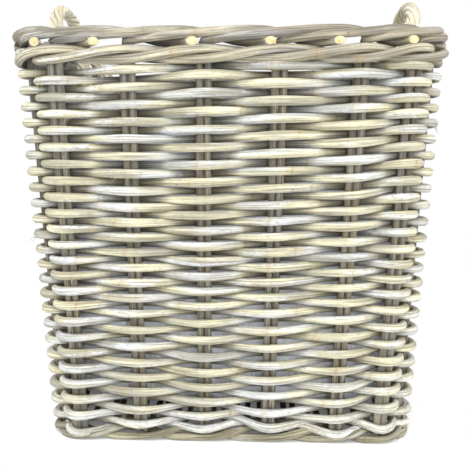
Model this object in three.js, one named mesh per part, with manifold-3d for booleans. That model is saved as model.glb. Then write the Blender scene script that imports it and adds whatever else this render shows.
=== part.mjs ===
// Square rattan planter basket with a rolled border, two twisted ear handles and a plastic liner.
// Millimetres, +Z up, front towards -Y, origin on the floor at the basket's centre.
import * as THREE from 'three';
import { mergeVertices } from 'three/addons/utils/BufferGeometryUtils.js';
import Module from 'manifold-3d';

const wasm = await Module();
wasm.setup();

// Outline of the wall, measured on the line of the stakes
const halfWidthFloor = 190;
const halfWidthTop = 207;
const taperHeight = 407;
const cornerRadius = 28;
const cornerPairPast = 1;
const innerPairShares = [0.203, 0.417, 0.628, 0.853];
const pairLean = 5.7;

// Stakes
const stakeRadius = 4;
const stakeSides = 6;
const pairPress = 0.13;
const stakePitch = 2 * stakeRadius * Math.cos(Math.PI / stakeSides) - pairPress;

// Weave
const clearance = 0.3;
const weaverRadius = 4.05;
const weaverSides = 4;
const weaverSlack = 2;
const rowCount = 46;
const rowGap = 0.25;
const rowPitch = 2 * weaverRadius + rowGap;
const canesPerSet = 8;
const endGap = 2.2;

// Wales: two rods twined at the foot, on which the basket stands, and three under the border
const waleRadius = 3.9;
const waleSides = 6;
const waleSlack = 1.7;
const waleHalfHeight = waleRadius * Math.cos(Math.PI / waleSides);
const topWaleRods = 3;
const footWaleRods = 2;
const footCut = 1.3;
const footTwist = waleHalfHeight + clearance;
const footCrossing = 0.1;
const footLevel = footTwist + waleHalfHeight - footCut;
const stakeFoot = footLevel + waleHalfHeight + clearance;
const firstRow = footLevel + footTwist + waleHalfHeight + clearance + weaverRadius;
const rowToTopWale = 8;
const topWaleStep = 15;
const topWaleLow = firstRow + (rowCount - 1) * rowPitch + rowToTopWale;
const topWaleHigh = topWaleLow + topWaleStep;

// Border: level at which the stakes bend over, and the route of a border rod from there,
// as stations past its own pair, a share of its reach outwards and a share of its rise
const waleToBend = 5;
const bendLevel = topWaleHigh + waleToBend;
const partnerDrop = 5;
const borderReach = 10.6;
const borderRise = 14.3;
const borderRoute = [
  [0.28, 0.425, 0.266],
  [0.9, 1, 0.615],
  [1.3, 0.66, 0.909],
  [1.7, 0.14, 1],
  [2, -0.425, 0.727],
  [2.35, -0.547, 0.252],
  [2.6, 0, 0.028],
  [2.8, 0.472, 0.014],
].map(([stations, outwards, rise]) => [stations, outwards * borderReach, rise * borderRise]);
const borderInside = -Math.min(...borderRoute.map(([, sideways]) => sideways));

// Corners: how far a cane outside a corner pair moves round and out, or inside it in, and swells between
const cornerTurn = 0.6;
const cornerStretch = 40;
const cornerShift = 1.5;
const weaverReach = 2;
const weaverInset = 1;
const waleReach = 2.4;
const waleInset = 1.1;
const weaverSwell = 10;
const waleSwell = 6;
const borderSwell = 3;

// Handles: three strands twisted round one axis, arched over the rim at the middle of each side
const strandCount = 3;
const strandRadius = 3.7;
const strandSides = 4;
const twistRadius = 4.8;
const twistLength = 90;
const strandSteps = 24;
const handleHalf = 52;
const handleDepth = 34;
const handleRise = 73;
const handleLean = 13;
const legNest = 2.9;
const handleArch = [
  { half: 1.02, seat: 1, lean: 0, rise: 0.1 },
  { half: 0.98, seat: 0.45, lean: 0, rise: 0.42 },
  { half: 0.78, seat: 0, lean: 0.3, rise: 0.73 },
  { half: 0.42, seat: 0, lean: 0.85, rise: 0.94 },
  { half: 0, seat: 0, lean: 1, rise: 1 },
];

// Base and liner
const baseStickRadius = 4;
const baseStickLevel = 14.5;
const baseRunCount = 24;
const baseRunRadius = 3.3;
const baseRunInset = 34;
const linerThickness = 0.8;
const linerEase = 1;
const linerDrop = 40.6;
const linerTop = bendLevel - linerDrop;
const linerCornerRadius = 34;
const linerFootRadius = 24;
const linerFootSteps = 3;
const cornerSteps = 4;

const sideCount = 4;
const quarterTurn = Math.PI / 2;
const cornerPairPlace = halfWidthTop - cornerRadius + cornerPairPast;
const pairPlaces = [0, ...innerPairShares, 1].map((share) => (
  THREE.MathUtils.lerp(-cornerPairPlace, cornerPairPlace, share)
));
const pairsPerSide = pairPlaces.length;
const stationCount = sideCount * pairsPerSide;
const up = new THREE.Vector3(0, 0, 1);

// Half width of the wall line at a height
function halfWidth(z) {
  return THREE.MathUtils.lerp(halfWidthFloor, halfWidthTop, z / taperHeight);
}

// The wall line at the top of the taper, seen from above, as one closed curve
function makeOutline() {
  const flat = halfWidthTop - cornerRadius;
  const corners = [[1, -1], [1, 1], [-1, 1], [-1, -1]];
  const path = new THREE.Path();
  path.moveTo(0, -halfWidthTop);
  path.lineTo(flat, -halfWidthTop);
  corners.forEach(([x, y], i) => {
    const from = (i - 1) * quarterTurn;
    path.absarc(x * flat, y * flat, cornerRadius, from, from + quarterTurn, false);
  });
  path.lineTo(0, -halfWidthTop);
  return path;
}

const outline = makeOutline();
const outlineLength = outline.getLength();

// Length along the outline of a station, which may be a fraction between two pairs, at a height;
// the stakes lean a little, so the top of a pair stands further round than its foot
function stationLength(station, z) {
  const whole = Math.floor(station);
  const side = Math.floor(whole / pairsPerSide);
  const place = pairPlaces[whole - side * pairsPerSide] + pairLean * z / taperHeight;
  const here = side * outlineLength / sideCount + place;
  if (station === whole) return here;
  return THREE.MathUtils.lerp(here, stationLength(whole + 1, z), station - whole);
}

// Point on the wall, by its length along the outline and its distance outwards of the stake line
function pointAt(length, outwards, z) {
  const share = THREE.MathUtils.euclideanModulo(length / outlineLength, 1);
  const onWall = outline.getPoint(share);
  const along = outline.getTangent(share);
  const scale = halfWidth(z) / halfWidthTop;
  return new THREE.Vector3(
    onWall.x * scale + along.y * outwards,
    onWall.y * scale - along.x * outwards,
    z,
  );
}

function wallPoint(station, outwards, z) {
  return pointAt(stationLength(station, z), outwards, z);
}

// How far the wall turns between two lengths along the outline
function turnBetween(from, to) {
  const tangentAt = (length) => (
    outline.getTangent(THREE.MathUtils.euclideanModulo(length / outlineLength, 1))
  );
  return Math.acos(THREE.MathUtils.clamp(tangentAt(from).dot(tangentAt(to)), -1, 1));
}

// Points through a list of stops, each a length, a distance outwards and a height;
// where the wall turns a corner between two stops, one more point swells round it,
// by the whole swell where both stops are outside the stakes and otherwise by half of it
function wallPath(stops, swell) {
  const points = [];
  stops.forEach(([length, outwards, z], i) => {
    points.push(pointAt(length, outwards, z));
    if (i === stops.length - 1) return;
    const [nextLength, nextOutwards, nextZ] = stops[i + 1];
    if (turnBetween(length, nextLength) < cornerTurn) return;
    const share = (outwards > 0 && nextOutwards > 0 ? 1 : 0.5) * (nextLength - length) / cornerStretch;
    points.push(pointAt(
      (length + nextLength) / 2,
      (outwards + nextOutwards) / 2 + swell * share,
      (z + nextZ) / 2,
    ));
  });
  return points;
}

// Spokes from the centre of a section to its corners, square to a direction
function sectionSpokes(direction, sideways, radius, sides) {
  const upright = direction.clone().cross(sideways).normalize();
  const across = upright.clone().cross(direction);
  return Array.from({ length: sides }, (_, i) => {
    const angle = (i / sides) * 2 * Math.PI;
    return across.clone().multiplyScalar(radius * Math.cos(angle))
      .addScaledVector(upright, radius * Math.sin(angle));
  });
}

// Closed solid that follows a polyline with a constant section and mitred bends.
// The section stays level, or starts with a corner outwards and turns with the bends.
function cane(points, radius, sides, outwards = null) {
  const directions = points.slice(1).map((point, i) => point.clone().sub(points[i]).normalize());
  const spokesAlong = (direction) => (
    sectionSpokes(direction, outwards ?? up.clone().cross(direction), radius, sides)
  );
  let spokes = spokesAlong(directions[0]);
  const positions = [];
  points.forEach((point, i) => {
    const into = directions[Math.max(i - 1, 0)];
    const out = directions[Math.min(i, directions.length - 1)];
    const mitre = into.clone().add(out).normalize();
    const bend = new THREE.Quaternion().setFromUnitVectors(into, out);
    const next = outwards ? spokes.map((spoke) => spoke.clone().applyQuaternion(bend)) : spokesAlong(out);
    spokes.forEach((spoke, k) => {
      const before = spoke.clone().addScaledVector(into, -spoke.dot(mitre) / into.dot(mitre));
      const after = next[k].clone().addScaledVector(out, -next[k].dot(mitre) / out.dot(mitre));
      positions.push(...before.add(after).multiplyScalar(0.5).add(point).toArray());
    });
    spokes = next;
  });
  const index = [];
  const last = (points.length - 1) * sides;
  for (let ring = 0; ring < points.length - 1; ring += 1) {
    for (let i = 0; i < sides; i += 1) {
      const a = ring * sides + i;
      const b = ring * sides + (i + 1) % sides;
      index.push(a, b, b + sides, a, b + sides, a + sides);
    }
  }
  for (let i = 1; i < sides - 1; i += 1) {
    index.push(0, i + 1, i, last, last + i, last + i + 1);
  }
  const geometry = new THREE.BufferGeometry();
  geometry.setAttribute('position', new THREE.Float32BufferAttribute(positions, 3));
  geometry.setIndex(index);
  return geometry;
}

function toSolid(geometry) {
  const bare = geometry.clone();
  bare.deleteAttribute('normal');
  bare.deleteAttribute('uv');
  const merged = mergeVertices(bare, 1e-4);
  return new wasm.Manifold(new wasm.Mesh({
    numProp: 3,
    vertProperties: new Float32Array(merged.attributes.position.array),
    triVerts: new Uint32Array(merged.index.array),
  }));
}

function toGeometry(solid) {
  const mesh = solid.getMesh();
  const geometry = new THREE.BufferGeometry();
  geometry.setAttribute('position', new THREE.Float32BufferAttribute(mesh.vertProperties, 3));
  geometry.setIndex(Array.from(mesh.triVerts));
  return geometry;
}

const basket = new THREE.Group();

function addPiece(name, geometry, material) {
  geometry.computeVertexNormals();
  const piece = new THREE.Mesh(geometry, material);
  piece.name = name;
  basket.add(piece);
}

function caneMaterial(colour) {
  return new THREE.MeshStandardMaterial({ color: colour, roughness: 0.7, metalness: 0 });
}

// Pulls the last point of a polyline back along its segment
function shorten(points, length) {
  const last = points[points.length - 1];
  const before = points[points.length - 2];
  last.add(before.clone().sub(last).setLength(length));
}

// Two canes side by side; the first bends over into the border, the second ends under it
function makeStakePair(station) {
  const bottom = wallPoint(station, 0, stakeFoot);
  const top = wallPoint(station, 0, bendLevel);
  const outwards = wallPoint(station, 1, stakeFoot).sub(bottom);
  const along = up.clone().cross(outwards).setLength(stakePitch / 2);
  const stops = borderRoute.map(([stations, sideways, rise]) => [
    stationLength(station + stations, bendLevel + rise) + stakePitch / 2,
    sideways,
    bendLevel + rise,
  ]);
  const rod = [bottom.clone().add(along), top.clone().add(along), ...wallPath(stops, borderSwell)];
  const partner = [bottom.clone().sub(along), top.clone().sub(along)];
  shorten(partner, partnerDrop);
  const bent = toSolid(cane(rod, stakeRadius, stakeSides, outwards));
  const straight = toSolid(cane(partner, stakeRadius, stakeSides, outwards));
  return toGeometry(bent.add(straight));
}

// Pulls both ends of a polyline back, so that a cane ends short of the one laid after it
function shortenEnds(points) {
  shorten(points, endGap);
  points.reverse();
  shorten(points, endGap);
  points.reverse();
  return points;
}

// Height gained by a chasing weaver where it steps up to its next turn, on the back wall
const stepFrom = 13;
const stepTo = 15;

function turnsAt(station) {
  const turn = Math.floor((station - stepFrom) / stationCount);
  const within = station - stepFrom - turn * stationCount;
  return turn + Math.min(within / (stepTo - stepFrom), 1);
}

const weaverSway = stakeRadius + clearance + weaverRadius + weaverSlack;
const waleSway = stakeRadius + clearance + waleRadius + waleSlack;

// Stop at a pair of stakes; outside a corner pair it moves towards the corner and further out
function pairStop(station, outwards, z, reach, inset) {
  const place = THREE.MathUtils.euclideanModulo(station, pairsPerSide);
  const towards = (place === pairsPerSide - 1) - (place === 0);
  const outside = outwards > 0 ? 1 : 0;
  const further = Math.abs(towards) * (outside ? reach : -inset);
  return [stationLength(station, z) + towards * outside * cornerShift, outwards + further, z];
}

// Points of one weaver cane; parity tells which pairs it passes in front of
function weaverPoints(from, to, parity, level) {
  const stops = [];
  for (let station = from; station <= to; station += 1) {
    const front = THREE.MathUtils.euclideanModulo(station, 2) === parity ? 1 : -1;
    const z = level + 2 * rowPitch * turnsAt(station);
    stops.push(pairStop(station, front * weaverSway, z, weaverReach, weaverInset));
  }
  return wallPath(stops, weaverSwell);
}

function makeWeaver(number, parity) {
  const turns = rowCount / 2;
  const stations = turns * stationCount / canesPerSet;
  const start = stepTo + parity + number * stations;
  const end = Math.min(start + stations, stepTo + turns * stationCount - 2 - parity);
  const level = firstRow + parity * rowPitch - 2 * rowPitch;
  return cane(shortenEnds(weaverPoints(start, end, parity, level)), weaverRadius, weaverSides);
}

// One rod of the three-rod top wale: behind one pair, then in front of two, low and then high
function makeTopRod(rod) {
  const middle = (topWaleLow + topWaleHigh) / 2;
  const steps = [[-waleSway, middle], [waleSway, topWaleLow], [waleSway, topWaleHigh]];
  const stops = [];
  for (let station = 0; station <= stationCount; station += 1) {
    const [outwards, z] = steps[(station + topWaleRods - rod) % topWaleRods];
    stops.push(pairStop(station, outwards, z, waleReach, waleInset));
  }
  return cane(shortenEnds(wallPath(stops, waleSwell)), waleRadius, waleSides);
}

// One of two rods twined round the foot: in front of one pair, then over the other rod and behind
// the next pair, then under it to the front again, level for a little way where the two cross;
// it is cut level where it stands on the floor
function makeFootRod(rod) {
  const stops = [];
  for (let station = 0; station <= stationCount; station += 1) {
    const front = (station + rod) % footWaleRods === 0 ? 1 : -1;
    stops.push(pairStop(station, front * waleSway, footLevel, waleReach, waleInset));
    if (station === stationCount) break;
    [-footCrossing, footCrossing].forEach((past) => {
      const length = stationLength(station + 0.5 + past, footLevel);
      stops.push([length, -2 * past * front * waleSway, footLevel + front * footTwist]);
    });
  }
  const whole = toSolid(cane(shortenEnds(wallPath(stops, 0)), waleRadius, waleSides));
  const size = 3 * halfWidthTop;
  const floor = new THREE.BoxGeometry(size, size, size);
  floor.translate(0, 0, -size / 2);
  return toGeometry(whole.subtract(toSolid(floor)));
}

// Strand of a twisted handle on the right side; equal turns set the strands apart
function makeStrand(side, number) {
  const reach = clearance + twistRadius + strandRadius;
  const foot = weaverSway + weaverRadius + reach;
  const seat = borderInside + stakeRadius + reach - legNest;
  const arch = handleArch.map((stop) => (
    [stop.half, stop.lean * handleLean - stop.seat * seat, stop.rise * handleRise]
  ));
  const near = [[1, -foot, -handleDepth], ...arch].map(([share, outwards, rise]) => {
    const wallAt = halfWidth(bendLevel + Math.min(rise, 0));
    return new THREE.Vector3(wallAt + outwards, -share * handleHalf, bendLevel + rise);
  });
  const far = near.slice(0, -1).reverse().map((point) => new THREE.Vector3(point.x, -point.y, point.z));
  const axis = new THREE.CatmullRomCurve3([...near, ...far], false, 'centripetal');
  const axisLength = axis.getLength();
  const inwards = new THREE.Vector3(-1, 0, 0);
  const points = [];
  for (let step = 0; step <= strandSteps; step += 1) {
    const share = step / strandSteps;
    const direction = axis.getTangentAt(share);
    const across = direction.clone().cross(inwards).normalize();
    const beside = across.clone().cross(direction);
    const angle = (number / strandCount + share * axisLength / twistLength) * 2 * Math.PI;
    points.push(axis.getPointAt(share)
      .addScaledVector(across, twistRadius * Math.cos(angle))
      .addScaledVector(beside, twistRadius * Math.sin(angle)));
  }
  const strand = cane(points, strandRadius, strandSides, new THREE.Vector3(1, 0, 0));
  if (side < 0) strand.rotateZ(Math.PI);
  return strand;
}

// Base: straight sticks from side to side, and one cane woven to and fro over and under them
const baseHalf = halfWidth(baseStickLevel) - weaverSway - weaverRadius - clearance;
const baseSway = baseStickRadius + baseRunRadius + 2 * clearance;
const baseScale = halfWidth(baseStickLevel) / halfWidthTop;
const baseStickPlaces = [pairPlaces[1], -pairPlaces[2], pairPlaces[4]].map((place) => place * baseScale);

function makeBaseStick(place) {
  const ends = [-1, 1].map((end) => new THREE.Vector3(end * baseHalf, place, baseStickLevel));
  return cane(ends, baseStickRadius, stakeSides);
}

function makeBaseWeaver() {
  const points = [];
  const baseRunReach = halfWidthFloor - baseRunInset;
  const turnAt = baseHalf - baseRunRadius - clearance;
  for (let run = 0; run < baseRunCount; run += 1) {
    const x = THREE.MathUtils.lerp(-baseRunReach, baseRunReach, run / (baseRunCount - 1));
    const heading = run % 2 === 0 ? 1 : -1;
    const places = heading > 0 ? baseStickPlaces : [...baseStickPlaces].reverse();
    points.push(new THREE.Vector3(x, -heading * turnAt, baseStickLevel));
    places.forEach((place) => {
      const over = (baseStickPlaces.indexOf(place) + run) % 2 === 0 ? 1 : -1;
      points.push(new THREE.Vector3(x, place, baseStickLevel + over * baseSway));
    });
    points.push(new THREE.Vector3(x, heading * turnAt, baseStickLevel));
  }
  return cane(points, baseRunRadius, weaverSides);
}

// Level ring of a square with rounded corners
function squareRing(half, radius, z) {
  const ring = [];
  for (let corner = 0; corner < sideCount; corner += 1) {
    for (let step = 0; step <= cornerSteps; step += 1) {
      const angle = (corner + step / cornerSteps) * quarterTurn;
      const middle = (corner + 0.5) * quarterTurn;
      ring.push(new THREE.Vector3(
        Math.sign(Math.cos(middle)) * (half - radius) + radius * Math.cos(angle),
        Math.sign(Math.sin(middle)) * (half - radius) + radius * Math.sin(angle),
        z,
      ));
    }
  }
  return ring;
}

// Closed solid through a stack of rings of equal counts, flat at both ends
function loft(rings) {
  const count = rings[0].length;
  const index = [];
  for (let ring = 0; ring < rings.length - 1; ring += 1) {
    for (let i = 0; i < count; i += 1) {
      const a = ring * count + i;
      const b = ring * count + (i + 1) % count;
      index.push(a, b, b + count, a, b + count, a + count);
    }
  }
  const last = (rings.length - 1) * count;
  for (let i = 1; i < count - 1; i += 1) {
    index.push(0, i + 1, i, last, last + i, last + i + 1);
  }
  const positions = rings.flat().flatMap((point) => point.toArray());
  const geometry = new THREE.BufferGeometry();
  geometry.setAttribute('position', new THREE.Float32BufferAttribute(positions, 3));
  geometry.setIndex(index);
  return geometry;
}

// Liner: an open bag of plastic sheet that stands on the base and follows the weave up to the rim
function makeLiner() {
  const foot = baseStickLevel + baseSway + baseRunRadius + clearance;
  const halfAt = (z) => halfWidth(z) - weaverSway - weaverRadius - clearance - linerEase;
  const skin = (inset) => {
    const bends = Array.from({ length: linerFootSteps + 1 }, (_, step) => step / linerFootSteps);
    const rings = bends.map((share) => {
      const bend = share * quarterTurn;
      const rise = (linerFootRadius - inset) * (1 - Math.cos(bend));
      const shrink = (linerFootRadius - inset) * (1 - Math.sin(bend));
      const z = foot + inset + rise;
      return squareRing(halfAt(z) - inset - shrink, linerCornerRadius - inset, z);
    });
    rings.push(squareRing(halfAt(linerTop) - inset, linerCornerRadius - inset, linerTop));
    return rings;
  };
  return loft([...skin(0), ...skin(linerThickness).reverse()]);
}

const palette = [0xcdc8b4, 0xbfbaa6, 0xd6cfb2, 0xc4c6c0];
const footColour = 0x9d9474;

for (let station = 0; station < stationCount; station += 1) {
  const name = `stake_pair_${String(station + 1).padStart(2, '0')}`;
  addPiece(name, makeStakePair(station), caneMaterial(0xa8a494));
}
['a', 'b'].forEach((set, parity) => {
  for (let i = 0; i < canesPerSet; i += 1) {
    const colour = palette[(i + 2 * parity) % palette.length];
    addPiece(`weaver_${set}_${i + 1}`, makeWeaver(i, parity), caneMaterial(colour));
  }
});
for (let rod = 0; rod < topWaleRods; rod += 1) {
  addPiece(`top_wale_${rod + 1}`, makeTopRod(rod), caneMaterial(palette[rod]));
}
for (let rod = 0; rod < footWaleRods; rod += 1) {
  addPiece(`foot_wale_${rod + 1}`, makeFootRod(rod), caneMaterial(footColour));
}
[['left', -1], ['right', 1]].forEach(([name, side]) => {
  for (let strand = 0; strand < strandCount; strand += 1) {
    addPiece(`handle_${name}_strand_${strand + 1}`, makeStrand(side, strand), caneMaterial(palette[2]));
  }
});
baseStickPlaces.forEach((place, i) => {
  addPiece(`base_stick_${i + 1}`, makeBaseStick(place), caneMaterial(palette[1]));
});
addPiece('base_weaver', makeBaseWeaver(), caneMaterial(palette[1]));
addPiece('liner', makeLiner(), new THREE.MeshStandardMaterial({
  color: 0xeef0f4, roughness: 0.35, metalness: 0, transparent: true, opacity: 0.7,
}));

export default basket;
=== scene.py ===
import math
import random

import bpy
import mathutils
import numpy as np
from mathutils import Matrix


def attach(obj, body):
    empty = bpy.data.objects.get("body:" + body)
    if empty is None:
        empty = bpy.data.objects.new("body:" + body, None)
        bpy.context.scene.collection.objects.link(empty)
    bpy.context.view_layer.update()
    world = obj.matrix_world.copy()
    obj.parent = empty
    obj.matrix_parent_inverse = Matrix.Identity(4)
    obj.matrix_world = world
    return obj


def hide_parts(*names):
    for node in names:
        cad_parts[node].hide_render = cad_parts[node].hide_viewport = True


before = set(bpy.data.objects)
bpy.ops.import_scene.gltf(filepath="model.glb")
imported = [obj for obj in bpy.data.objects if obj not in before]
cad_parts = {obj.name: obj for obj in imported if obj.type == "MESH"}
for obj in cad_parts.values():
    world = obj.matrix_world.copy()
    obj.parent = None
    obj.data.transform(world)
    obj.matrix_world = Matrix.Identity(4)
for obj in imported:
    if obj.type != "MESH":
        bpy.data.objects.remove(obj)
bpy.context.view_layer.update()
mm = 0.001
dice = random.Random(7)

# Wall of the basket in millimetres, on the line of the stakes; a station is one pair of stakes
wall = {
    "halfFloor": 190,
    "halfTop": 207,
    "taperHeight": 407,
    "cornerRadius": 28,
    "places": (-180, -106.9, -29.9, 46.1, 127.1, 180),  # pairs along one side, from its middle
    "lean": 5.7,  # how far the pairs lean along the side over the height
}
perSide = len(wall["places"])
stationCount = 4 * perSide
flatHalf = wall["halfTop"] - wall["cornerRadius"]
sideLength = 2 * flatHalf + math.pi / 2 * wall["cornerRadius"]


def halfAt(z):
    return wall["halfFloor"] + (wall["halfTop"] - wall["halfFloor"]) * z / wall["taperHeight"]


def stationLength(station, z):
    whole = math.floor(station)
    side, place = divmod(whole, perSide)
    here = side * sideLength + wall["places"][place] + wall["lean"] * z / wall["taperHeight"]
    if station == whole:
        return here
    return here + (station - whole) * (stationLength(whole + 1, z) - here)


# point on the wall, by its length round the outline, distance outwards and height
def wallPoint(length, outwards, z):
    side = math.floor(length / sideLength + 0.5)
    along = length - side * sideLength
    turn = max(abs(along) - flatHalf, 0) / wall["cornerRadius"]
    sign = 1 if along > 0 else -1
    x = max(min(along, flatHalf), -flatHalf) + sign * wall["cornerRadius"] * math.sin(turn)
    y = -wall["halfTop"] + wall["cornerRadius"] * (1 - math.cos(turn))
    tangentX, tangentY = math.cos(turn), sign * math.sin(turn)
    scale = halfAt(z) / wall["halfTop"]
    x, y = x * scale + tangentY * outwards, y * scale - tangentX * outwards
    cosine, sine = ((1, 0), (0, 1), (-1, 0), (0, -1))[side % 4]
    return (x * cosine - y * sine, x * sine + y * cosine, z)


# rows of numbers as a smooth line through all of them, with count steps to each
def smooth(rows, count):
    rows = np.array(rows, float)
    padded = np.vstack([2 * rows[0] - rows[1], rows, 2 * rows[-1] - rows[-2]])
    result = []
    for i in range(1, len(rows)):
        before, start, end, after = padded[i - 1 : i + 3]
        for step in range(count):
            t = step / count
            bend = (2 * before - 5 * start + 4 * end - after) * t**2
            twist = (3 * start - before - 3 * end + after) * t**3
            result.append(0.5 * (2 * start + (end - before) * t + bend + twist))
    result.append(rows[-1])
    return np.array(result)


# length along a line up to each of its points
def lengthsAlong(rows):
    gaps = np.linalg.norm(np.diff(rows[:, :3], axis=0), axis=1)
    return np.concatenate([[0], np.cumsum(gaps)])


# the same line with its points a fixed distance apart
def evenly(rows, spacing):
    lengths = lengthsAlong(rows)
    count = max(int(lengths[-1] / spacing), 2)
    at = np.linspace(0, lengths[-1], count + 1)
    return np.column_stack([np.interp(at, lengths, rows[:, k]) for k in range(rows.shape[1])])


# round tube through places in millimetres, with a share of its radius at each
def makeTube(places, shares, radius, resolution):
    bpy.ops.object.select_all(action="DESELECT")
    bpy.ops.curve.primitive_nurbs_path_add()
    line = bpy.context.object.data
    line.splines.clear()
    spline = line.splines.new("POLY")
    spline.points.add(len(places) - 1)
    spline.points.foreach_set("co", np.column_stack([np.array(places) * mm, np.ones(len(places))]).ravel())
    spline.points.foreach_set("radius", shares)
    line.dimensions = "3D"
    line.bevel_depth = radius * mm
    line.bevel_resolution = resolution
    line.use_fill_caps = True
    bpy.ops.object.convert(target="MESH")
    return bpy.context.object


# Rattan: every cane swells a little at its knots and is never quite even
rattan = {
    "sides": 12,
    "spacing": 5.5,  # between the rings of a cane
    "chamfer": 0.5,
    "edgeAngle": 50,
    "firstKnot": (0, 160),  # length to the first knot, then from knot to knot
    "knotApart": (110, 260),
    "knotSwell": 0.32,
    "knotWidth": 5,
    "farFromKnot": 60.0,  # stands for any greater distance
    "wobbles": ((0.3, 67), (0.08, 13)),  # height of a slow wave and a fast one, and length to a radian
    "phase": (0, 6),  # about one whole turn
    "weld": 1e-6,
    "steps": 10,  # points of a smooth line from one stop to the next
    "grainStart": (0, 40),  # metres, so that no two canes have the same grain
    # painted shade on a cane begins where it starts to lie back, at the share given below
    "inset": 0.1,  # a cane starts to lie back this share of its sway in front of the stakes
}


def withEnds(values):
    return np.concatenate([values[:1], values, values[-1:]])


# round cane along rows of x, y, z and added radius in millimetres, and how far it lies back, 0 to 1, which
# sets how much painted shade it takes
def makeCane(rows, radius, cutFacing=None):
    rows = evenly(np.asarray(rows, float), rattan["spacing"])
    along = lengthsAlong(rows)
    toKnot = np.full(len(along), rattan["farFromKnot"])
    place = dice.uniform(*rattan["firstKnot"])
    while place < along[-1]:
        nearer = np.abs(along - place) < np.abs(toKnot)
        toKnot[nearer] = (along - place)[nearer]
        place += dice.uniform(*rattan["knotApart"])
    swell = rattan["knotSwell"] * np.exp(-((toKnot / rattan["knotWidth"]) ** 2))
    wobble = 0
    for height, length in rattan["wobbles"]:
        wobble = wobble + height * np.sin(along / length + dice.uniform(*rattan["phase"]))
    radii = radius + rows[:, 3] + swell + wobble
    chamfer = rattan["chamfer"]
    first, last = rows[0, :3], rows[-1, :3]
    intoFirst = (rows[1, :3] - first) / np.linalg.norm(rows[1, :3] - first)
    intoLast = (rows[-2, :3] - last) / np.linalg.norm(rows[-2, :3] - last)
    places = np.vstack([first, first + chamfer * intoFirst, rows[1:-1, :3], last + chamfer * intoLast, last])
    radii = np.concatenate([[radii[0] - chamfer], radii, [radii[-1] - chamfer]])
    sides = rattan["sides"]
    cane = makeTube(places, radii / radius, radius, sides // 2 - 2)
    mesh = cane.data

    # "grain" is where a point would lie on the straight cane, "knot" how far it is from a knot
    # and "recess" how far the cane lies back in the weave there, which sets how much painted shade it takes
    lengths = np.concatenate([[0, chamfer], along[1:-1], [along[-1] - chamfer, along[-1]]])
    number = np.arange(len(mesh.vertices))
    rings = number // sides - 2  # the mesh starts with the last cap's ring and the first cap's
    rings = np.where(rings == -2, len(places) - 1, np.where(rings == -1, 0, rings))
    around = number % sides * 2 * math.pi / sides
    start = dice.uniform(*rattan["grainStart"])
    straight = np.column_stack([
        lengths[rings] * mm + start,
        radius * mm * np.cos(around),
        radius * mm * np.sin(around),
    ])
    grain = mesh.attributes.new("grain", "FLOAT_VECTOR", "POINT")
    grain.data.foreach_set("vector", straight.ravel())
    for label, values in (("knot", withEnds(toKnot) * mm), ("recess", withEnds(rows[:, 4]))):
        mask = mesh.attributes.new(label, "FLOAT", "POINT")
        mask.data.foreach_set("value", values[rings])
    if cutFacing is not None:
        # the end is cut off level with the wall, not square to the cane
        for back, ring in ((0, len(places) - 1), (chamfer, len(places) - 2)):
            for point in np.flatnonzero(rings == ring):
                spot = np.array(mesh.vertices[point].co) / mm
                past = np.dot(last - back * cutFacing - spot, cutFacing) / -np.dot(intoLast, cutFacing)
                mesh.vertices[point].co = (spot - past * intoLast) * mm
    for face in mesh.polygons:
        face.material_index = 1 if len(face.vertices) == 3 else 0  # only the caps are triangles
    bpy.ops.object.mode_set(mode="EDIT")
    bpy.ops.mesh.select_all(action="SELECT")
    bpy.ops.mesh.remove_doubles(threshold=rattan["weld"])
    bpy.ops.mesh.select_all(action="DESELECT")
    bpy.ops.object.mode_set(mode="OBJECT")
    bpy.ops.object.shade_smooth_by_angle(angle=math.radians(rattan["edgeAngle"]))
    return cane


# Frayed ends of the cane's skin, a few millimetres long, in small tufts
frayed = {
    "lowest": 0.4,  # above the floor
    "tuftsPerCane": 5,
    "besidePair": 16,  # a tuft hangs within this distance of a pair
    "under": 0.7,  # share of the cane's radius that it hangs below the middle
    "spread": (2, 0.6, 0.5),  # of the roots in a tuft
    "hairs": (2, 5),
    "length": (3.5, 9),
    "radius": 0.26,
    "taper": (1.0, 0.9, 0.6, 0.15),  # share of the radius from root to tip
    "outwards": 0.5,
    "downwards": 0.7,
    "stray": 0.5,
    "droop": (0.1, 0.5),
}


def makeHair(root, heading):
    length = dice.uniform(*frayed["length"])
    heading = np.array(heading) + [dice.uniform(-frayed["stray"], frayed["stray"]) for _ in range(3)]
    heading /= np.linalg.norm(heading)
    droop = dice.uniform(*frayed["droop"])
    places = []
    for step in range(len(frayed["taper"])):
        along = length * step / (len(frayed["taper"]) - 1)
        x, y, z = np.array(root) + heading * along
        places.append((x, y, max(z - droop * along**2 / length, frayed["lowest"])))
    return makeTube(places, frayed["taper"], frayed["radius"], 0)


# joins canes into the piece that stands for a CAD node
def finishPiece(canes, node, materials):
    bpy.ops.object.select_all(action="DESELECT")
    for cane in canes:
        cane.select_set(True)
        for index, material in enumerate(materials):
            if index < len(cane.data.materials):
                cane.data.materials[index] = material
            else:
                cane.data.materials.append(material)
    bpy.context.view_layer.objects.active = canes[0]
    if len(canes) > 1:
        bpy.ops.object.join()
    piece = bpy.context.view_layer.objects.active
    piece.name = node + "_cane"
    piece.data.name = piece.name
    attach(piece, "root")
    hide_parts(node)


print("materials")


# a colour as it looks on screen, 0 to 255, for a colour socket
def paint(red, green, blue):
    return tuple(((value / 255 + 0.055) / 1.055) ** 2.4 for value in (red, green, blue)) + (1,)


# node with its settings, its sockets filled with values or joined to other sockets
def addNode(tree, kind, sockets=None, **settings):
    made = tree.nodes.new(kind)
    for setting, value in settings.items():
        setattr(made, setting, value)
    for socket, value in (sockets or {}).items():
        if isinstance(value, bpy.types.NodeSocket):
            tree.links.new(value, made.inputs[socket])
        else:
            made.inputs[socket].default_value = value
    return made


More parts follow.
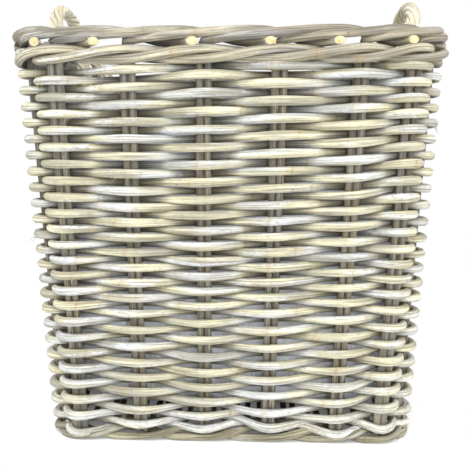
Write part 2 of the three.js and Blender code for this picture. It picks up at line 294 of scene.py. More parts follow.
# group of nodes, with a colour socket where the label ends in color and a plain one elsewhere
def newGroup(name, inputs, outputs):
    group = bpy.data.node_groups.new(name, "ShaderNodeTree")
    for direction, labels in (("INPUT", inputs), ("OUTPUT", outputs)):
        for label in labels:
            kind = "NodeSocketColor" if label.lower().endswith("color") else "NodeSocketFloat"
            group.interface.new_socket(name=label, in_out=direction, socket_type=kind)
    return group, group.nodes.new("NodeGroupInput"), group.nodes.new("NodeGroupOutput")


def rangeOf(tree, value, low, high, start=0, end=1):
    sockets = {"Value": value, "From Min": low, "From Max": high, "To Min": start, "To Max": end}
    return addNode(tree, "ShaderNodeMapRange", sockets, interpolation_type="SMOOTHSTEP").outputs[0]


def calculate(tree, operation, first, second=0.5):
    return addNode(tree, "ShaderNodeMath", {0: first, 1: second}, operation=operation).outputs[0]


def multiply(tree, first, second):
    return calculate(tree, "MULTIPLY", first, second)


def mixColour(tree, share, first, second, blend="MIX"):
    sockets = {0: share, 6: first, 7: second}
    return addNode(tree, "ShaderNodeMix", sockets, data_type="RGBA", blend_type=blend).outputs[2]


def noiseOf(tree, vector, scale, detail=2, output=0):
    sockets = {"Vector": vector, "Scale": scale, "Detail": detail}
    return addNode(tree, "ShaderNodeTexNoise", sockets).outputs[output]


def stretchedNoise(tree, vector, stretch, detail, low, high):
    scaled = addNode(tree, "ShaderNodeVectorMath", {0: vector, 1: stretch}, operation="MULTIPLY")
    return rangeOf(tree, noiseOf(tree, scaled.outputs[0], 1, detail), low, high)


# Masks that follow the cane: slow changes of tone, streaks and fibres along it, blotches, specks and knots
grainLook = {
    "noises": {  # stretch along and across the cane, detail, and from where to where the mask rises
        "Tone": ((5, 28, 28), 2, 0.3, 0.7),
        "Band": ((6, 210, 210), 2, 0.42, 0.64),
        "Streak": ((16, 760, 760), 4, 0.47, 0.62),
        "Fibre": ((70, 2300, 2300), 2, 0.35, 0.7),
        "Blotch": ((38, 150, 150), 4, 0.5, 0.66),
        "Mottle": ((210, 420, 420), 3, 0.47, 0.66),
        "Speck": ((330, 640, 640), 1, 0.7, 0.78),
    },
    "knotSlant": 0.5,
    "knotRing": (0.0003, 0.0019),  # metres from the knot
    "nearKnot": (0.001, 0.009),
    "relief": {"Streak": -0.6, "Fibre": 0.3, "Knot": -0.8, "Speck": -0.7},
    "bump": (0.7, 0.0004),  # strength and distance
}
maskLabels = (*grainLook["noises"], "Knot", "Near knot", "Recess")
caneGrain, _, grainOut = newGroup("caneGrain", (), (*maskLabels, "Height"))
straight = addNode(caneGrain, "ShaderNodeAttribute", attribute_name="grain").outputs["Vector"]
toKnot = addNode(caneGrain, "ShaderNodeAttribute", attribute_name="knot").outputs["Fac"]
recess = addNode(caneGrain, "ShaderNodeAttribute", attribute_name="recess").outputs["Fac"]
across = addNode(caneGrain, "ShaderNodeSeparateXYZ", {0: straight}).outputs["Y"]
slant = multiply(caneGrain, calculate(caneGrain, "ABSOLUTE", across), grainLook["knotSlant"])
slanted = calculate(caneGrain, "ABSOLUTE", calculate(caneGrain, "ADD", toKnot, slant))
masks = {label: stretchedNoise(caneGrain, straight, *noise) for label, noise in grainLook["noises"].items()}
masks["Knot"] = rangeOf(caneGrain, slanted, *grainLook["knotRing"], 1, 0)
fromKnot = calculate(caneGrain, "ABSOLUTE", toKnot)
masks["Near knot"] = rangeOf(caneGrain, fromKnot, *grainLook["nearKnot"], 1, 0)
# how far the cane lies back, which becomes painted shade in the weathering
masks["Recess"] = recess
masks["Height"] = 0
for label, share in grainLook["relief"].items():
    masks["Height"] = calculate(caneGrain, "ADD", masks["Height"], multiply(caneGrain, masks[label], share))
for label, mask in masks.items():
    caneGrain.links.new(mask, grainOut.inputs[label])

# Weathering: dark streaks, grey-white wash that is thickest near the floor, specks and browned knots; and
# painted shade, a darker colour where a cane lies back in the weave behind the stakes
weatherAndShadeLook = {
    "cloudScale": 9,  # places that take more wash, by a noise over the whole basket
    "cloud": (0.35, 0.6),
    "footHeight": (0.008, 0.075),
    "bands": 0.4,
    "fullWash": 0.7,
    "mottle": (0.26, 0.55),  # share on bare cane and under full wash
    "mottleColour": (132, 134, 134),
    "fibres": 0.12,
    "browned": 0.25,
    "ringWear": (0.15, 0.6),
    "ringDarkened": 0.7,
    "ringColour": (92, 84, 70),
    "speckColour": (84, 72, 54),
    # painted shade: the colour a cane is multiplied by where it lies back in the weave, standing in for the
    # shadow there
    "recessShadeColour": (96, 92, 84),
    "roughness": (0.5, 0.72),  # of clean cane and of a streak
    "washRoughness": 0.15,
}
# a finish's value for each of the group's shares
shareLabels = {
    "Streaks": "streaks",
    "Wash": "washShare",
    "Foot wash": "footWash",
    "Specks": "specks",
    "Grime": "grime",
}
weatheringAndShade, weatherIn, weatherOut = newGroup(
    "weatheringAndShade",
    ("Color", *maskLabels[1:], "Streak color", "Wash color", "Knot color", *shareLabels),
    ("Color", "Roughness"),
)
given = weatherIn.outputs
place = addNode(weatheringAndShade, "ShaderNodeTexCoord").outputs["Object"]
level = addNode(weatheringAndShade, "ShaderNodeSeparateXYZ", {0: place}).outputs["Z"]
cloud = rangeOf(weatheringAndShade, noiseOf(weatheringAndShade, place, weatherAndShadeLook["cloudScale"]), *weatherAndShadeLook["cloud"])
nearFoot = rangeOf(weatheringAndShade, level, *weatherAndShadeLook["footHeight"], 1, 0)
wash = multiply(weatheringAndShade, multiply(weatheringAndShade, given["Blotch"], cloud), given["Wash"])
wash = calculate(weatheringAndShade, "MAXIMUM", wash, multiply(weatheringAndShade, nearFoot, given["Foot wash"]))
banded = multiply(weatheringAndShade, given["Band"], weatherAndShadeLook["bands"])
washed = rangeOf(weatheringAndShade, wash, 0, weatherAndShadeLook["fullWash"], *weatherAndShadeLook["mottle"])
mottled = multiply(weatheringAndShade, given["Mottle"], washed)
streaked = multiply(weatheringAndShade, given["Streak"], given["Streaks"])
fine = rangeOf(weatheringAndShade, given["Fibre"], 0, 1, weatherAndShadeLook["fibres"], 0)
browned = multiply(weatheringAndShade, given["Near knot"], weatherAndShadeLook["browned"])
worn = rangeOf(weatheringAndShade, given["Streak"], 0, 1, *weatherAndShadeLook["ringWear"])
ringed = multiply(weatheringAndShade, given["Knot"], worn)
ringColour = mixColour(
    weatheringAndShade, weatherAndShadeLook["ringDarkened"], given["Knot color"], paint(*weatherAndShadeLook["ringColour"])
)
specked = multiply(weatheringAndShade, given["Speck"], given["Specks"])
# painted shade: the further a cane lies back behind the stakes, the darker it is painted
recessShaded = multiply(weatheringAndShade, given["Recess"], given["Grime"])
colour = given["Color"]
for share, layer in (
    (banded, given["Streak color"]),
    (wash, given["Wash color"]),
    (mottled, paint(*weatherAndShadeLook["mottleColour"])),
    (streaked, given["Streak color"]),
    (fine, given["Streak color"]),
    (browned, given["Knot color"]),
    (ringed, ringColour),
    (specked, paint(*weatherAndShadeLook["speckColour"])),
):
    colour = mixColour(weatheringAndShade, share, colour, layer)
colour = mixColour(weatheringAndShade, recessShaded, colour, paint(*weatherAndShadeLook["recessShadeColour"]), "MULTIPLY")
weatheringAndShade.links.new(colour, weatherOut.inputs["Color"])
rough = rangeOf(weatheringAndShade, given["Streak"], 0, 1, *weatherAndShadeLook["roughness"])
rough = calculate(weatheringAndShade, "ADD", rough, multiply(weatheringAndShade, wash, weatherAndShadeLook["washRoughness"]))
weatheringAndShade.links.new(rough, weatherOut.inputs["Roughness"])

# in each finish, the last share sets how strongly painted shade darkens a cane where it lies back in the
# weave
rattanFinishes = {
    "weatheredWeaver": {
        "tones": (
            (0, (154, 153, 136)), (0.24, (190, 187, 162)), (0.4, (217, 213, 181)), (0.52, (200, 195, 166)),
            (0.62, (206, 205, 193)), (0.76, (201, 205, 207)), (0.88, (180, 182, 178)), (1, (158, 160, 156)),
        ),
        "streak": (124, 116, 94), "wash": (215, 219, 223), "knot": (172, 152, 114),
        "streaks": 0.75, "washShare": 0.7, "footWash": 0.5, "specks": 0.7, "grime": 0.88,
    },
    "weatheredWale": {
        "tones": (
            (0, (130, 126, 112)), (0.3, (162, 157, 140)), (0.48, (202, 196, 170)),
            (0.62, (174, 168, 144)), (0.8, (180, 179, 172)), (1, (132, 131, 127)),
        ),
        "streak": (100, 92, 72), "wash": (228, 228, 222), "knot": (168, 138, 94),
        "streaks": 0.7, "washShare": 0.6, "footWash": 0, "specks": 0.6, "grime": 0.85,
    },
    "weatheredStake": {
        "tones": (
            (0, (108, 103, 92)), (0.3, (142, 137, 120)), (0.5, (178, 170, 146)),
            (0.7, (134, 124, 104)), (1, (160, 162, 162)),
        ),
        "streak": (92, 86, 72), "wash": (200, 200, 194), "knot": (128, 108, 80),
        "streaks": 0.75, "washShare": 0.45, "footWash": 0.15, "specks": 0.7, "grime": 0.75,
    },
    "oliveFoot": {
        "tones": ((0, (122, 117, 96)), (0.4, (156, 151, 124)), (0.7, (184, 178, 146)), (1, (144, 142, 127))),
        "streak": (86, 79, 62), "wash": (212, 211, 200), "knot": (126, 104, 72),
        "streaks": 0.85, "washShare": 0.5, "footWash": 0, "specks": 0.6, "grime": 0.85,
    },
    "paleHandle": {
        "tones": ((0, (168, 160, 134)), (0.4, (204, 196, 166)), (0.7, (222, 215, 190)), (1, (192, 189, 176))),
        "streak": (126, 112, 78), "wash": (236, 234, 224), "knot": (170, 138, 90),
        "streaks": 0.6, "washShare": 0.5, "footWash": 0, "specks": 0.5, "grime": 0.8,
    },
    "brownBase": {
        "tones": ((0, (138, 118, 86)), (0.5, (168, 148, 110)), (1, (150, 136, 110))),
        "streak": (96, 80, 54), "wash": (188, 182, 162), "knot": (120, 92, 58),
        "streaks": 0.65, "washShare": 0.3, "footWash": 0, "specks": 0.6, "grime": 0.6,
    },
}


def newMaterial(name):
    material = bpy.data.materials.new(name)
    material.use_nodes = True
    tree = material.node_tree
    return material, tree, tree.nodes["Principled BSDF"]


def addBump(tree, shader, height, strength, distance):
    sockets = {"Height": height, "Strength": strength, "Distance": distance}
    tree.links.new(addNode(tree, "ShaderNodeBump", sockets).outputs[0], shader.inputs["Normal"])


def caneMaterial(name):
    finish = rattanFinishes[name]
    material, tree, shader = newMaterial(name)
    grain = addNode(tree, "ShaderNodeGroup", node_tree=caneGrain)
    ramp = addNode(tree, "ShaderNodeValToRGB", {0: grain.outputs["Tone"]})
    stops = ramp.color_ramp.elements
    for number, (at, colour) in enumerate(finish["tones"]):
        if number < 2:  # a new ramp has two stops
            stops[number].position = at
        else:
            stops.new(at)
        stops[number].color = paint(*colour)
    weather = addNode(tree, "ShaderNodeGroup", node_tree=weatheringAndShade)
    tree.links.new(ramp.outputs[0], weather.inputs["Color"])
    for label in maskLabels[1:]:
        tree.links.new(grain.outputs[label], weather.inputs[label])
    for label in ("streak", "wash", "knot"):
        weather.inputs[label.capitalize() + " color"].default_value = paint(*finish[label])
    for label, value in shareLabels.items():
        weather.inputs[label].default_value = finish[value]
    for label in ("Color", "Roughness"):
        into = "Base Color" if label == "Color" else label
        tree.links.new(weather.outputs[label], shader.inputs[into])
    addBump(tree, shader, grain.outputs["Height"], *grainLook["bump"])
    return material


weaverFinish = caneMaterial("weatheredWeaver")
waleFinish = caneMaterial("weatheredWale")
stakeFinish = caneMaterial("weatheredStake")
footFinish = caneMaterial("oliveFoot")
handleFinish = caneMaterial("paleHandle")
baseFinish = caneMaterial("brownBase")

# cut ends show the pale pith with its dark pores
cutLook = {
    "pith": (196, 187, 148),
    "stained": (182, 163, 116),
    "stainScale": 260,
    "stain": (0.4, 0.7),
    "pore": (142, 116, 74),
    "poreScale": 1100,
    "poreSize": (0.12, 0.3),
    "poreShare": 0.35,
    "roughness": 0.8,
    "bump": (0.3, 0.0001),
}
cutFinish, tree, shader = newMaterial("cutEnd")
place = addNode(tree, "ShaderNodeTexCoord").outputs["Object"]
cells = addNode(tree, "ShaderNodeTexVoronoi", {"Vector": place, "Scale": cutLook["poreScale"]})
pores = rangeOf(tree, cells.outputs["Distance"], *cutLook["poreSize"], 1, 0)
stain = rangeOf(tree, noiseOf(tree, place, cutLook["stainScale"]), *cutLook["stain"])
pith = mixColour(tree, stain, paint(*cutLook["pith"]), paint(*cutLook["stained"]))
pith = mixColour(tree, multiply(tree, pores, cutLook["poreShare"]), pith, paint(*cutLook["pore"]))
tree.links.new(pith, shader.inputs["Base Color"])
shader.inputs["Roughness"].default_value = cutLook["roughness"]
addBump(tree, shader, calculate(tree, "SUBTRACT", 1, pores), *cutLook["bump"])

# the film is milky at the foot, where it lies crumpled, and clearer higher up
filmLook = {
    "colours": ((250, 252, 255), (230, 236, 246)),
    "detail": 3,
    "clearing": (0.1, 0.3),  # heights in metres
    "milky": (0.92, 0.3),
    "mistScale": 16,
    "mist": (0.35, 0.7),
    "mistShare": 0.16,
    "bendScale": 24,
    "bend": 0.03,
    "facetScale": 30,
    "wrinkleScale": 42,
    "noiseMiddle": 0.5,  # wrinkles run where the noise is at its middle
    "wrinkleWidth": 0.05,
    "wrinkleShare": 0.12,
    "wrinkleHeight": 0.25,
    "roughness": 0.22,
    "bump": (0.8, 0.004),
}
filmFinish, tree, shader = newMaterial("linerFilm")
place = addNode(tree, "ShaderNodeTexCoord").outputs["Object"]
level = addNode(tree, "ShaderNodeSeparateXYZ", {0: place}).outputs["Z"]
bent = noiseOf(tree, place, filmLook["bendScale"], output="Color")
shift = addNode(tree, "ShaderNodeVectorMath", {0: bent, "Scale": filmLook["bend"]}, operation="SCALE")
bent = addNode(tree, "ShaderNodeVectorMath", {0: place, 1: shift.outputs[0]}, operation="ADD").outputs[0]
facets = addNode(tree, "ShaderNodeTexVoronoi", {"Vector": bent, "Scale": filmLook["facetScale"]})
wrinkles = noiseOf(tree, bent, filmLook["wrinkleScale"], filmLook["detail"])
wrinkles = calculate(tree, "ABSOLUTE", calculate(tree, "SUBTRACT", wrinkles, filmLook["noiseMiddle"]))
wrinkles = rangeOf(tree, wrinkles, 0, filmLook["wrinkleWidth"], 1, 0)
mist = noiseOf(tree, place, filmLook["mistScale"], filmLook["detail"])
mist = rangeOf(tree, mist, *filmLook["mist"])
milky = rangeOf(tree, level, *filmLook["clearing"], *filmLook["milky"])
milky = calculate(tree, "ADD", milky, multiply(tree, mist, filmLook["mistShare"]))
milky = calculate(tree, "ADD", milky, multiply(tree, wrinkles, filmLook["wrinkleShare"]))
film = mixColour(tree, mist, *[paint(*colour) for colour in filmLook["colours"]])
tree.links.new(film, shader.inputs["Base Color"])
tree.links.new(milky, shader.inputs["Alpha"])
shader.inputs["Roughness"].default_value = filmLook["roughness"]
relief = multiply(tree, wrinkles, filmLook["wrinkleHeight"])
addBump(tree, shader, calculate(tree, "ADD", facets.outputs["Distance"], relief), *filmLook["bump"])

print("stakes and border")
stakeLook = {
    "radius": 4,
    "pitch": 8,
    "foot": 6.5,
    "bend": 420.9,  # height at which the first cane of a pair bends over
    "belowBend": 6,  # the upright part ends this far below it
    "uprightPoints": 8,
    "uprightSteps": 4,
    "rodRadius": 4.6,
    # how far the stakes and border rods lie back, which sets their painted shade
    "recess": 0.27,
    "rodRecess": 0.3,  # on the wall line; it falls to 0 as the rod comes out
    "recessOver": 10,
    # rods cut off early, by station, so that their ends lie unevenly along the front
    "cutEarly": {21: 0.23, 22: 0.32, 23: 0.05, 0: 0.05, 1: 0.22, 2: 0.08},
    "shortenFrom": 1.75,  # stations past its own pair, and over how many the cut-off grows
    "shortenOver": 0.8,
}
borderRoute = (  # stations past its own pair, outwards, above the bend
    (-0.07, 3.2, 2.4),
    (0.1, 6.2, 5),
    (0.5, 9.4, 7.6),
    (1.0, 10.4, 10),
    (1.4, 7, 12.6),
    (1.75, 1.5, 13.4),
    (2.05, -4.5, 10.4),
    (2.38, -6.8, 4.6),
    (2.56, -4.6, 2.4),
    (2.68, 0.6, 1.6),
    (2.78, 7.4, 1.4),
    (2.865, 14.4, 1.4),
)


# direction straight out of the wall
def outOfWall(length, z):
    return np.subtract(wallPoint(length, 1, z), wallPoint(length, 0, z))


bend = stakeLook["bend"]
half = stakeLook["pitch"] / 2
fuller = stakeLook["rodRadius"] - stakeLook["radius"]
heights = np.linspace(stakeLook["foot"], bend - stakeLook["belowBend"], stakeLook["uprightPoints"])
for station in range(stationCount):
    rod, partner = [
        [(*wallPoint(stationLength(station, z) + beside, 0, z), 0, stakeLook["recess"]) for z in heights]
        for beside in (half, -half)
    ]
    early = stakeLook["cutEarly"].get(station, 0)
    for stations, outwards, rise in borderRoute:
        grown = (stations - stakeLook["shortenFrom"]) / stakeLook["shortenOver"]
        stations -= early * min(max(grown, 0), 1)
        length = stationLength(station + stations, bend + rise) + half
        # a rod takes less painted shade as it comes out of the wall
        recess = min(max(stakeLook["rodRecess"] - outwards / stakeLook["recessOver"], 0), 1)
        rod.append((*wallPoint(length, outwards, bend + rise), fuller, recess))
    canes = [
        makeCane(smooth(rod, rattan["steps"]), stakeLook["radius"], outOfWall(length, bend)),
        makeCane(smooth(partner, stakeLook["uprightSteps"]), stakeLook["radius"]),
    ]
    finishPiece(canes, f"stake_pair_{station + 1:02d}", [stakeFinish, cutFinish])

print("weavers")
weave = {
    "rows": 46,
    "rowPitch": 8.55,
    "firstRow": 14,
    "sway": 9.9,  # how far a weaver stands off the stake line in front of a pair
    "radius": 3.95,
    "fuller": 0.8,  # added to the radius over a pair
    "canesPerSet": 8,
    "stepFrom": 13,  # the back wall's stations where a weaver steps up to its next turn
    "stepTo": 15,
    "endGap": 1.6,
    "footLift": (3.2, 2, 0.9),  # the lowest rows ride over the foot between the pairs
    "pairLift": 0.2,  # share of it that they take up or down at a pair
    # how far the hand-woven rows lie off even spacing, by height, at the front's six pairs
    "levels": (14, 23, 40, 57, 90, 150, 210, 270, 330, 395),
    "settled": (
        (-6.5, -5, -2, -1, 0, 2.3, 0, -1.3, -1.6, -4.4),
        (-2, -4.3, -4.6, -0.4, -1.2, 3.3, 1, -3.8, -1.6, -2.5),
        (0.4, -1.4, -3, -3, -3.6, 2.8, -0.5, -3.8, -1.6, 1.6),
        (-2, -6.6, -6.4, -3.2, -3, 5.3, 1.5, -0.8, 1.4, 1.1),
        (-4.6, -4.2, -3, -2.2, 1.2, 7.8, 5, 1.4, 3.4, 1.6),
        (-2, -6.2, 0.4, 3.8, 3, 9.3, 5.5, 7.7, 7.9, 0.6),
    ),
}


# the rows run even again over the left and right sides
def settledAt(station, z):
    station = (station + perSide) % stationCount - perSide
    offsets = [np.interp(z, weave["levels"], pair) for pair in weave["settled"]]
    places = [-perSide, *range(perSide), 2 * perSide - 1, 3 * perSide]
    return np.interp(station, places, [0, *offsets, 0, 0])


def turnsAt(station):
    turn, within = divmod(station - weave["stepFrom"], stationCount)
    return turn + min(within / (weave["stepTo"] - weave["stepFrom"]), 1)


# a row's even height at a station, and whether it runs in front of the pair there, 1, or behind, -1
def rowAt(station, parity):
    level = weave["firstRow"] + (parity - 2) * weave["rowPitch"]
    return level + 2 * weave["rowPitch"] * turnsAt(station), 1 if station % 2 == parity else -1


# both ends drawn back, so that canes laid end to end don't touch
def drawnBack(stops, gap):
    (first, *start), (last, *end) = stops[0], stops[-1]
    return [(first + gap, *start), *stops[1:-1], (last - gap, *end)]


# cane through stops of length, outwards and height, thicker where it stands off the wall line
def wallCane(stops, radius, fuller, sway):
    rows = []
    for length, outwards, z in smooth(stops, rattan["steps"]):
        over = min(abs(outwards) / sway, 1) ** 2
        # how far the cane lies back behind the stakes, 0 to 1, which sets its painted shade
        back = min(max(rattan["inset"] - outwards / sway, 0), 1)
        rows.append((*wallPoint(length, outwards, z), fuller * over, back))
    return makeCane(rows, radius)


turns = weave["rows"] / 2
stations = turns * stationCount / weave["canesPerSet"]
for parity, letter in enumerate("ab"):
    for number in range(weave["canesPerSet"]):
        start = int(weave["stepTo"] + parity + number * stations)
        end = int(min(start + stations, weave["stepTo"] + turns * stationCount - 2 - parity))
        # a join lies behind a pair
        start += start % 2 == parity
        end += end % 2 == parity
        stops = []
        for station in range(start, end + 1):
            z, front = rowAt(station, parity)
            row = round((z - weave["firstRow"]) / weave["rowPitch"])
            z += settledAt(station, z)
            lift = weave["footLift"][row] if row < len(weave["footLift"]) else 0
            atPair = z - weave["pairLift"] * lift * front
            stops.append((stationLength(station, z), front * weave["sway"], atPair))
            if lift and station < end:
                stops.append((stationLength(station + 0.5, z), 0, z + lift))
        stops = drawnBack(stops, weave["endGap"])
        cane = wallCane(stops, weave["radius"], weave["fuller"], weave["sway"])
        hairs = []
        for _ in range(frayed["tuftsPerCane"]):
            station = dice.choice(range(start + 1, end))
            z, front = rowAt(station, parity)
            z += settledAt(station, z)
            length = stationLength(station, z) + dice.uniform(-frayed["besidePair"], frayed["besidePair"])
            under = weave["radius"] * frayed["under"]
            root = wallPoint(length, front * (weave["sway"] + under), z - under)
            heading = outOfWall(length, z) * front * frayed["outwards"]
            heading -= np.array([0, 0, frayed["downwards"]])
            for _ in range(dice.randint(*frayed["hairs"])):
                spot = np.add(root, [dice.uniform(-spread, spread) for spread in frayed["spread"]])
                hairs.append(makeHair(spot, heading))
        finishPiece([cane, *hairs], f"weaver_{letter}_{number + 1}", [weaverFinish, cutFinish])

print("wales")
topWale = {
    "sway": 10.2,
    "radius": 4.5,
    "rods": 3,
    "low": 405.8,
    "high": 415.8,
    "endGap": 1.6,
}
middle = (topWale["low"] + topWale["high"]) / 2
steps = ((-topWale["sway"], middle), (topWale["sway"], topWale["low"]), (topWale["sway"], topWale["high"]))
for rod in range(topWale["rods"]):
    stops = []
    for station in range(rod, rod + stationCount + 1):
        outwards, z = steps[(station - rod) % topWale["rods"]]
        stops.append((stationLength(station, z), outwards, z))
    cane = wallCane(drawnBack(stops, topWale["endGap"]), topWale["radius"], 0, topWale["sway"])
    finishPiece([cane], f"top_wale_{rod + 1}", [waleFinish, cutFinish])

footWale = {
    "sway": 9.8,
    "radius": 3.5,
    "fuller": 0.4,
    "rods": 2,
    "endGap": 1.6,
    # stations past the pair that a rod passes in front of, share of the sway outwards, height
    "stroke": ((0, 0.9, 4.2), (0.2, 0.9, 5.4), (0.4, 0.85, 8.6), (0.58, 0.5, 11), (0.76, -0.3, 10)),
    "behind": ((0, -1, 4.8), (0.2, -0.5, 4), (0.38, 0.3, 3.7), (0.55, 0.75, 3.6), (0.8, 0.85, 3.8)),
}
for rod in range(footWale["rods"]):
    stops = []
    for station in range(1 - rod, stationCount + 1 - rod):
        front = (station + rod) % footWale["rods"] == 0
        for past, share, z in footWale["stroke" if front else "behind"]:
            stops.append((stationLength(station + past, z), share * footWale["sway"], z))
    z = footWale["behind"][0][2]
    stops.append((stationLength(stationCount + 1 - rod, z), -footWale["sway"], z))
    stops = drawnBack(stops, footWale["endGap"])
    cane = wallCane(stops, footWale["radius"], footWale["fuller"], footWale["sway"])
    finishPiece([cane], f"foot_wale_{rod + 1}", [footFinish, cutFinish])

print("handles")
handleLook = {
    "strands": 3,
    "canesPerStrand": 2,
    "radius": 2.9,
    "twistRadius": 5.5,
    "twistLength": 90,
    "half": 52,
    "depth": 34,
    "rise": 75,
    "lean": 15,
    "seat": 15.7,
    "foot": 23.2,
    "smoothSteps": 16,
    "spacing": 2.5,
    "arch": (  # share of the half width, of the seat, of the lean and of the rise
        (1.02, 1, 0, 0.1),
        (1.02, 0.3, 0.45, 0.4),
        (0.93, 0, 0.9, 0.7),
        (0.6, 0, 1, 0.92),
        (0, 0, 1, 1),
    ),
}
bend = stakeLook["bend"]
low = bend - handleLook["depth"]
legs = [(halfAt(low) - handleLook["foot"], -handleLook["half"], low)]
for share, seat, lean, rise in handleLook["arch"]:
    outwards = lean * handleLook["lean"] - seat * handleLook["seat"]
    legs.append((halfAt(bend) + outwards, -share * handleLook["half"], bend + rise * handleLook["rise"]))
legs += [(x, -y, z) for x, y, z in legs[-2::-1]]
axis = evenly(smooth(legs, handleLook["smoothSteps"]), handleLook["spacing"])
axisLength = lengthsAlong(axis)
direction = np.gradient(axis, axis=0)
direction /= np.linalg.norm(direction, axis=1)[:, None]
across = np.cross(direction, (-1, 0, 0))
across /= np.linalg.norm(across, axis=1)[:, None]
beside = np.cross(across, direction)
for name, side in (("left", -1), ("right", 1)):
    for strand in range(handleLook["strands"]):
        canes = []
        for number in range(handleLook["canesPerStrand"]):
            share = (strand + number / handleLook["canesPerStrand"]) / handleLook["strands"]
            angle = (share + axisLength / handleLook["twistLength"]) * 2 * math.pi
            offset = across * np.cos(angle)[:, None] + beside * np.sin(angle)[:, None]
            line = (axis + handleLook["twistRadius"] * offset) * (side, side, 1)
            canes.append(makeCane(np.column_stack([line, np.zeros((len(line), 2))]), handleLook["radius"]))
        finishPiece(canes, f"handle_{name}_strand_{strand + 1}", [handleFinish, cutFinish])

print("base")
baseLook = {
    "level": 14.5,
    "stickRadius": 4,
    "stickPoints": 9,
    "runRadius": 3.5,
    "clearance": 0.2,
    "runs": 24,
    "inset": 34,
    "half": 175.9,
    "places": (-98.5, 27.5, 117),
    "turnAt": 172.5,
    # the base lies back inside the basket and is painted in shade all over
    "recess": 0.5,
}
level = baseLook["level"]
for number, place in enumerate(baseLook["places"]):
    along = np.linspace(-baseLook["half"], baseLook["half"], baseLook["stickPoints"])
    cane = makeCane([(x, place, level, 0, baseLook["recess"]) for x in along], baseLook["stickRadius"])
    finishPiece([cane], f"base_stick_{number + 1}", [baseFinish, cutFinish])
reach = wall["halfFloor"] - baseLook["inset"]
sway = baseLook["stickRadius"] + baseLook["runRadius"] + baseLook["clearance"]
stops = []
for run in range(baseLook["runs"]):
    x = -reach + 2 * reach * run / (baseLook["runs"] - 1)
    heading = 1 if run % 2 == 0 else -1
    stops.append((x, -heading * baseLook["turnAt"], level))
    for place in baseLook["places"][::heading]:
        over = 1 if (baseLook["places"].index(place) + run) % 2 == 0 else -1
        stops.append((x, place, level + over * sway))
    stops.append((x, heading * baseLook["turnAt"], level))
stops = [(*stop, 0, baseLook["recess"]) for stop in stops]
cane = makeCane(smooth(stops, rattan["steps"]), baseLook["runRadius"])
finishPiece([cane], "base_weaver", [baseFinish, cutFinish])

print("liner")
linerLook = {
    "top": 380,
    "ragged": 7,  # how far the upper edge wanders
    "raggedSize": 45,
    "foot": 26.2,
    "footRadius": 24,
    "cornerRadius": 34,
    "standOff": 16.3,  # from the stake line in to the film
    "crinkle": 9,
    "crinkleSize": 34,
    "crinkleFrom": 0.35,  # the film is flat where the noise is lower than this
    "octaves": 4,
    "thickness": 0.35,
    "edgeAngle": 25,
    "around": 240,
    "wallRings": 70,
    "bendRings": 6,
    "floorRings": 30,
    "cut": (1.08, 1.08),  # a flat sheet's size, in metres
}
# half width and height of each ring: the floor, the bend into the wall, and the wall
profile = []
reach = halfAt(linerLook["foot"]) - linerLook["standOff"] - linerLook["footRadius"]
for step in range(linerLook["floorRings"]):
    profile.append((step / linerLook["floorRings"] * reach, linerLook["foot"]))
for step in range(linerLook["bendRings"] + 1):
    bend = step / linerLook["bendRings"] * math.pi / 2
    z = linerLook["foot"] + linerLook["footRadius"] * (1 - math.cos(bend))
    shrink = linerLook["footRadius"] * (1 - math.sin(bend))
    profile.append((halfAt(z) - linerLook["standOff"] - shrink, z))
bendTop = profile[-1][1]
for step in range(1, linerLook["wallRings"] + 1):
    z = bendTop + (linerLook["top"] - bendTop) * step / linerLook["wallRings"]
    profile.append((halfAt(z) - linerLook["standOff"], z))
points, faces = [(0, 0, linerLook["foot"] * mm)], []
around = linerLook["around"]
for half, z in profile[1:]:
    for step in range(around):
        angle = (step + 0.5) / around * 2 * math.pi
        cosine, sine = math.cos(angle), math.sin(angle)
        # rounded square: the corner's own circle where the ray meets it
        corner = min(linerLook["cornerRadius"], half)
        flat = half - corner
        reach = half / max(abs(cosine), abs(sine))
        if min(abs(cosine), abs(sine)) * reach > flat:
            middle = flat * (abs(cosine) + abs(sine))
            reach = middle + math.sqrt(max(middle**2 - 2 * flat**2 + corner**2, 0))
        spot = mathutils.Vector((cosine * reach, sine * reach, z))
        strength = mathutils.noise.turbulence(spot / linerLook["crinkleSize"], linerLook["octaves"], True)
        crease = max(strength - linerLook["crinkleFrom"], 0) * linerLook["crinkle"]
        rise = min((z - linerLook["foot"]) / linerLook["footRadius"], 1)
        spot.x -= cosine * (crease * rise)
        spot.y -= sine * (crease * rise)
        spot.z += crease * (1 - rise)
        if z == linerLook["top"]:
            spot.z += linerLook["ragged"] * mathutils.noise.noise(spot / linerLook["raggedSize"])
        points.append(tuple(spot * mm))
for step in range(around):
    faces.append((0, 1 + step, 1 + (step + 1) % around))
for ring in range(len(profile) - 2):
    for step in range(around):
        here, there = 1 + ring * around + step, 1 + ring * around + (step + 1) % around
        faces.append((here, here + around, there + around, there))
sheet = bpy.data.meshes.new("liner_film")
sheet.from_pydata(points, [], faces)
film = bpy.data.objects.new("liner_film", sheet)
bpy.context.collection.objects.link(film)
bpy.ops.object.select_all(action="DESELECT")
film.select_set(True)
bpy.context.view_layer.objects.active = film
bpy.ops.object.mode_set(mode="EDIT")
bpy.ops.mesh.select_all(action="SELECT")
bpy.ops.mesh.normals_make_consistent(inside=False)
bpy.ops.object.mode_set(mode="OBJECT")
bpy.ops.object.modifier_add(type="SOLIDIFY")
film.modifiers[0].thickness = linerLook["thickness"] * mm
film.modifiers[0].offset = 0
bpy.ops.object.modifier_apply(modifier=film.modifiers[0].name)
bpy.ops.object.shade_smooth_by_angle(angle=math.radians(linerLook["edgeAngle"]))
film.data.materials.append(filmFinish)
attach(film, "root")
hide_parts("liner")

print("camera, light and floor")
cameraLook = {
    "place": (0.0258, -0.8248, 0.3188),
    "turn": (81.85, 0, 1.74),  # degrees
    "lens": 46.2,
    "sensor": 36,
}


def inRadians(turn):
    return [math.radians(angle) for angle in turn]


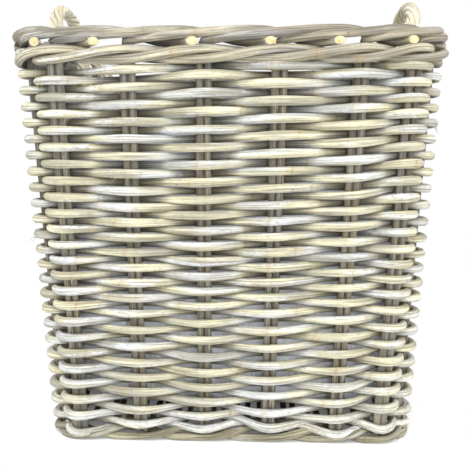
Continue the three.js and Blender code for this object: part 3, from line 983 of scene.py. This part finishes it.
bpy.ops.object.camera_add(location=cameraLook["place"], rotation=inRadians(cameraLook["turn"]))
camera = bpy.context.object
camera.data.lens = cameraLook["lens"]
camera.data.sensor_width = cameraLook["sensor"]
bpy.context.scene.camera = camera

# a white studio to the camera and to reflections, lit at a plain level
studio = {
    "white": (1, 1, 1, 1),
    "floor": (0.9, 0.9, 0.9, 1),
    "floorRoughness": 0.9,
    "floorGloss": 0.1,
    "floorSize": 60,
    "floorLevel": -0.0005,  # just clear of the foot
    "glow": 1,  # how much of the floor's colour doesn't wait for light
    "glowFrom": (0.185, 0.26),  # beside the basket, not under it
    "glowUnder": 0.1,
    "worldLight": 0.49,
    "lamps": (  # place, turn in degrees, power and size: key light and fill light
        ((-0.25, -0.9, 1.7), (32, 0, -15), 23.5, 1.2),
        ((0.5, -1.6, 0.6), (80, 0, 17), 17.5, 1.2),
    ),
    "sideTurns": (75, 180, -75),  # lamps beside and behind the basket
    "sideDistance": 1.7,
    "sideHeight": 1.1,
    "sideTilt": 62,
    "sidePower": 16,
    "sideSize": 1.3,
}


# 1 where a ray comes from the camera, a reflection or the far side of a clear piece
def seenRays(tree):
    rays = addNode(tree, "ShaderNodeLightPath").outputs
    seen = calculate(tree, "MAXIMUM", rays["Is Camera Ray"], rays["Is Glossy Ray"])
    return calculate(tree, "MAXIMUM", seen, rays["Is Transmission Ray"])


bpy.ops.mesh.primitive_plane_add(size=studio["floorSize"], location=(0, 0, studio["floorLevel"]))
floor = bpy.context.object
floor.name = "floor"
floorFinish, tree, shader = newMaterial("paleFloor")
shader.inputs["Base Color"].default_value = studio["floor"]
shader.inputs["Roughness"].default_value = studio["floorRoughness"]
shader.inputs["Specular IOR Level"].default_value = studio["floorGloss"]
glow = addNode(tree, "ShaderNodeEmission", {"Color": studio["white"], "Strength": 1})
place = addNode(tree, "ShaderNodeSeparateXYZ", {0: addNode(tree, "ShaderNodeTexCoord").outputs["Object"]})
fromMiddle = [calculate(tree, "ABSOLUTE", place.outputs[axisName]) for axisName in ("X", "Y")]
beside = calculate(tree, "MAXIMUM", *fromMiddle)
beside = rangeOf(tree, beside, *studio["glowFrom"], studio["glowUnder"])
share = multiply(tree, multiply(tree, seenRays(tree), studio["glow"]), beside)
mixed = addNode(tree, "ShaderNodeMixShader", {0: share, 1: shader.outputs[0], 2: glow.outputs[0]})
tree.links.new(mixed.outputs[0], tree.nodes["Material Output"].inputs["Surface"])
floor.data.materials.append(floorFinish)

world = bpy.data.worlds.new("studio")
bpy.context.scene.world = world
world.use_nodes = True
tree = world.node_tree
strength = rangeOf(tree, seenRays(tree), 0, 1, studio["worldLight"], 1)
tree.nodes["Background"].inputs["Color"].default_value = studio["white"]
tree.links.new(strength, tree.nodes["Background"].inputs["Strength"])


def addLamp(place, turn, power, size):
    bpy.ops.object.light_add(type="AREA", location=place, rotation=inRadians(turn))
    bpy.context.object.data.energy = power
    bpy.context.object.data.size = size


for lamp in studio["lamps"]:
    addLamp(*lamp)
for turn in studio["sideTurns"]:
    around = math.radians(turn)
    distance = studio["sideDistance"]
    spot = (distance * math.sin(around), -distance * math.cos(around), studio["sideHeight"])
    addLamp(spot, (studio["sideTilt"], 0, turn), studio["sidePower"], studio["sideSize"])

bpy.context.scene.view_settings.view_transform = "Standard"
